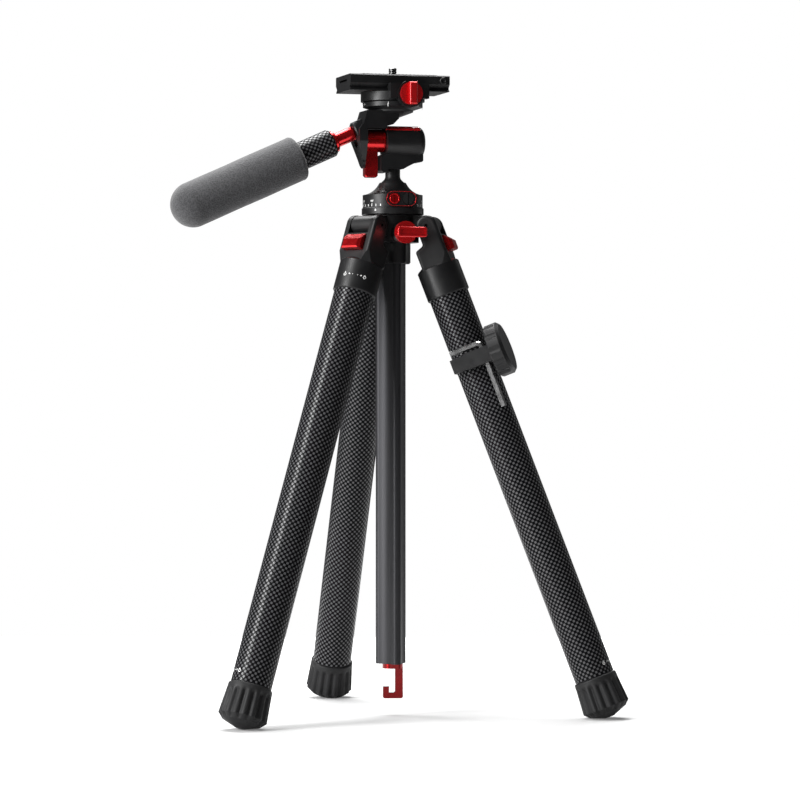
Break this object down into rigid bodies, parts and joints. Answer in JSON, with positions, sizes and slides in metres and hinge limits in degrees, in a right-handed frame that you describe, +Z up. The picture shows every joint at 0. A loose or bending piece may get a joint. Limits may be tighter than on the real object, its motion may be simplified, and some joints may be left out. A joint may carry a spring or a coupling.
{
  "type": "tripod with fluid head",
  "caption": "Folding three-leg camera stand with sliding grooved centre column, levelling ball, tilt unit with padded pan handle, red locks and a quick-release plate.",
  "frame": {"origin": "on the centre column axis at floor level", "axes": "+Z up along the centre column; +X to the right and -Y towards the viewer as the head knobs are seen"},
  "size_m": [0.3391, 0.308, 0.4845],
  "materials": {
    "carbon_fibre": "woven carbon laminate under clear gloss",
    "black_metal": "black satin anodised",
    "satin_grey_metal": "dark grey satin anodised extrusion",
    "red_anodised": "gloss red anodised",
    "bright_steel": "bright steel",
    "black_rubber": "moulded fluted rubber",
    "grey_foam": "closed-cell foam, matte",
    "black_plastic": "glass-filled nylon, fine grain"
  },
  "bodies": {
    "crown": {"crown_casting": "black_metal", "crown_liner": "black_plastic", "hinge_pins": "black_metal"},
    "leg_right": {"shoulder_right": "black_metal", "outer_tube_right": "carbon_fibre", "clip_body": "black_plastic"},
    "lock_tab_right": {"angle_tab_right": "red_anodised"},
    "leg_right_section_2": {"section_2_right": "carbon_fibre"},
    "leg_right_section_3": {"section_3_right": "carbon_fibre"},
    "leg_right_section_4": {"section_4_right": "carbon_fibre"},
    "leg_right_section_5": {"section_5_right": "carbon_fibre"},
    "leg_right_foot": {"foot_right": "black_rubber"},
    "leg_rear": {"shoulder_rear": "black_metal", "outer_tube_rear": "carbon_fibre"},
    "lock_tab_rear": {"angle_tab_rear": "red_anodised"},
    "leg_rear_section_2": {"section_2_rear": "carbon_fibre"},
    "leg_rear_section_3": {"section_3_rear": "carbon_fibre"},
    "leg_rear_section_4": {"section_4_rear": "carbon_fibre"},
    "leg_rear_section_5": {"section_5_rear": "carbon_fibre"},
    "leg_rear_foot": {"foot_rear": "black_rubber"},
    "leg_left": {"shoulder_left": "black_metal", "outer_tube_left": "carbon_fibre"},
    "lock_tab_left": {"angle_tab_left": "red_anodised"},
    "leg_left_section_2": {"section_2_left": "carbon_fibre"},
    "leg_left_section_3": {"section_3_left": "carbon_fibre"},
    "leg_left_section_4": {"section_4_left": "carbon_fibre"},
    "leg_left_section_5": {"section_5_left": "carbon_fibre"},
    "leg_left_foot": {"foot_left": "black_rubber"},
    "column": {"column_tube": "satin_grey_metal", "column_end_plug": "black_plastic", "weight_hook": "red_anodised", "head_base": "black_metal"},
    "column_knob": {"column_lock_knob": "red_anodised", "column_lock_stud": "bright_steel"},
    "pan_housing": {"ball_housing": "black_metal", "lock_bezel": "black_metal"},
    "ball_lock": {"ball_lock_knob": "red_anodised"},
    "pan_lock": {"pan_lock_knob": "black_plastic"},
    "ball_seat": {"ball_cup": "black_plastic"},
    "ball": {"ball_stem": "black_metal", "tilt_body": "black_metal", "accent_strip": "red_anodised"},
    "tilt": {"tilt_arm": "black_metal", "tilt_shaft": "bright_steel", "handle_connector": "red_anodised", "handle_ring": "red_anodised", "handle_tube": "carbon_fibre", "foam_grip": "grey_foam"},
    "tilt_lever": {"tilt_lock_lever": "red_anodised"},
    "top_clamp": {"clamp_body": "black_metal"},
    "clamp_slide": {"clamp_jaw": "black_metal"},
    "clamp_screw": {"clamp_knob": "red_anodised", "clamp_rod": "bright_steel"},
    "plate": {"quick_release_plate": "black_metal", "plate_pads": "black_rubber"},
    "mount_screw": {"camera_screw": "bright_steel"},
    "clip_screw_knob": {"clip_knob": "black_plastic", "clip_screw": "bright_steel"},
    "key": {"hex_key": "bright_steel"}
  },
  "joints": [
    {"name": "leg_right_spread", "type": "hinge", "parent": "crown", "child": "leg_right", "pos_m": [0.02772, -0.00569, 0.36562], "axis": [-0.2011, -0.9796, 0], "range_deg": [-21.2, 58.8]},
    {"name": "lock_tab_right_pull", "type": "slide", "parent": "leg_right", "child": "lock_tab_right", "axis": [0.9133, -0.1875, 0.3616], "range_m": [0, 0.003], "stiffness_N_per_m": 400},
    {"name": "leg_right_section_2_slide", "type": "slide", "parent": "leg_right", "child": "leg_right_section_2", "axis": [0.3542, -0.0727, -0.9323], "range_m": [0, 0.24]},
    {"name": "leg_right_section_3_slide", "type": "slide", "parent": "leg_right_section_2", "child": "leg_right_section_3", "axis": [0.3542, -0.0727, -0.9323], "range_m": [0, 0.24]},
    {"name": "leg_right_section_4_slide", "type": "slide", "parent": "leg_right_section_3", "child": "leg_right_section_4", "axis": [0.3542, -0.0727, -0.9323], "range_m": [0, 0.24]},
    {"name": "leg_right_section_5_slide", "type": "slide", "parent": "leg_right_section_4", "child": "leg_right_section_5", "axis": [0.3542, -0.0727, -0.9323], "range_m": [0, 0.24]},
    {"name": "leg_right_foot_twist", "type": "hinge", "parent": "leg_right_section_5", "child": "leg_right_foot", "pos_m": [0.14971, -0.03073, 0.03047], "axis": [-0.3542, 0.0727, 0.9323], "range_deg": [-45, 45]},
    {"name": "leg_rear_spread", "type": "hinge", "parent": "crown", "child": "leg_rear", "pos_m": [-0.00893, 0.02685, 0.36562], "axis": [0.9489, 0.3156, 0], "range_deg": [-21.2, 58.8]},
    {"name": "lock_tab_rear_pull", "type": "slide", "parent": "leg_rear", "child": "lock_tab_rear", "axis": [-0.2943, 0.8847, 0.3616], "range_m": [0, 0.003], "stiffness_N_per_m": 400},
    {"name": "leg_rear_section_2_slide", "type": "slide", "parent": "leg_rear", "child": "leg_rear_section_2", "axis": [-0.1141, 0.3431, -0.9323], "range_m": [0, 0.24]},
    {"name": "leg_rear_section_3_slide", "type": "slide", "parent": "leg_rear_section_2", "child": "leg_rear_section_3", "axis": [-0.1141, 0.3431, -0.9323], "range_m": [0, 0.24]},
    {"name": "leg_rear_section_4_slide", "type": "slide", "parent": "leg_rear_section_3", "child": "leg_rear_section_4", "axis": [-0.1141, 0.3431, -0.9323], "range_m": [0, 0.24]},
    {"name": "leg_rear_section_5_slide", "type": "slide", "parent": "leg_rear_section_4", "child": "leg_rear_section_5", "axis": [-0.1141, 0.3431, -0.9323], "range_m": [0, 0.24]},
    {"name": "leg_rear_foot_twist", "type": "hinge", "parent": "leg_rear_section_5", "child": "leg_rear_foot", "pos_m": [-0.04824, 0.14501, 0.03047], "axis": [0.1141, -0.3431, 0.9323], "range_deg": [-45, 45]},
    {"name": "leg_left_spread", "type": "hinge", "parent": "crown", "child": "leg_left", "pos_m": [-0.01879, -0.02116, 0.36562], "axis": [-0.7478, 0.6639, 0], "range_deg": [-21.2, 58.8]},
    {"name": "lock_tab_left_pull", "type": "slide", "parent": "leg_left", "child": "lock_tab_left", "axis": [-0.619, -0.6972, 0.3616], "range_m": [0, 0.003], "stiffness_N_per_m": 400},
    {"name": "leg_left_section_2_slide", "type": "slide", "parent": "leg_left", "child": "leg_left_section_2", "axis": [-0.2401, -0.2704, -0.9323], "range_m": [0, 0.24]},
    {"name": "leg_left_section_3_slide", "type": "slide", "parent": "leg_left_section_2", "child": "leg_left_section_3", "axis": [-0.2401, -0.2704, -0.9323], "range_m": [0, 0.24]},
    {"name": "leg_left_section_4_slide", "type": "slide", "parent": "leg_left_section_3", "child": "leg_left_section_4", "axis": [-0.2401, -0.2704, -0.9323], "range_m": [0, 0.24]},
    {"name": "leg_left_section_5_slide", "type": "slide", "parent": "leg_left_section_4", "child": "leg_left_section_5", "axis": [-0.2401, -0.2704, -0.9323], "range_m": [0, 0.24]},
    {"name": "leg_left_foot_twist", "type": "hinge", "parent": "leg_left_section_5", "child": "leg_left_foot", "pos_m": [-0.10146, -0.11428, 0.03047], "axis": [0.2401, 0.2704, 0.9323], "range_deg": [-45, 45]},
    {"name": "column_rise", "type": "slide", "parent": "crown", "child": "column", "axis": [0, 0, 1], "range_m": [0, 0.27]},
    {"name": "column_lock_turn", "type": "hinge", "parent": "crown", "child": "column_knob", "pos_m": [0.00915, -0.02752, 0.36022], "axis": [0.3156, -0.9489, 0], "range_deg": [0, 180]},
    {"name": "head_pan", "type": "hinge", "parent": "column", "child": "pan_housing", "pos_m": [0, 0, 0.37962], "axis": [0, 0, 1], "continuous": true},
    {"name": "ball_lock_turn", "type": "hinge", "parent": "pan_housing", "child": "ball_lock", "pos_m": [0.00121, -0.02311, 0.38562], "axis": [0.284, -0.9588, 0], "range_deg": [0, 180]},
    {"name": "pan_lock_turn", "type": "hinge", "parent": "pan_housing", "child": "pan_lock", "pos_m": [0.01157, -0.02004, 0.38562], "axis": [0.284, -0.9588, 0], "range_deg": [0, 180]},
    {"name": "ball_swivel", "type": "hinge", "parent": "pan_housing", "child": "ball_seat", "pos_m": [0, 0, 0.39262], "axis": [0, 0, 1], "continuous": true},
    {"name": "ball_lean", "type": "hinge", "parent": "ball_seat", "child": "ball", "pos_m": [0, 0, 0.39262], "axis": [-0.284, 0.9588, 0], "range_deg": [-18, 18]},
    {"name": "tilt_turn", "type": "hinge", "parent": "ball", "child": "tilt", "pos_m": [0, 0, 0.42882], "axis": [0.9588, 0.284, 0], "range_deg": [-70, 70]},
    {"name": "tilt_lever_turn", "type": "hinge", "parent": "ball", "child": "tilt_lever", "pos_m": [0, 0, 0.42882], "axis": [-0.9588, -0.284, 0], "range_deg": [0, 35]},
    {"name": "clamp_pan", "type": "hinge", "parent": "tilt", "child": "top_clamp", "pos_m": [0, 0, 0.45912], "axis": [0, 0, 1], "continuous": true},
    {"name": "jaw_slide", "type": "slide", "parent": "top_clamp", "child": "clamp_slide", "axis": [-0.284, 0.9588, 0], "range_m": [0, 0.003]},
    {"name": "clamp_knob_turn", "type": "hinge", "parent": "top_clamp", "child": "clamp_screw", "pos_m": [0.01342, -0.02418, 0.46342], "axis": [0.284, -0.9588, 0], "range_deg": [0, 720]},
    {"name": "plate_slide", "type": "slide", "parent": "top_clamp", "child": "plate", "axis": [0.9588, 0.284, 0], "range_m": [-0.02, 0.02]},
    {"name": "camera_screw_turn", "type": "hinge", "parent": "plate", "child": "mount_screw", "pos_m": [0, 0, 0.46612], "axis": [0, 0, 1], "continuous": true},
    {"name": "clip_knob_turn", "type": "hinge", "parent": "leg_right", "child": "clip_screw_knob", "pos_m": [0.07416, -0.0336, 0.27121], "axis": [0.9133, -0.1875, 0.3616], "continuous": true},
    {"name": "hex_key_slide", "type": "slide", "parent": "leg_right", "child": "key", "axis": [-0.3542, 0.0727, 0.9323], "range_m": [0, 0.06]}
  ],
  "couplings": [
    {"joint": "jaw_slide", "follows": "clamp_knob_turn", "m_per_rad": 0.00023873}
  ]
}
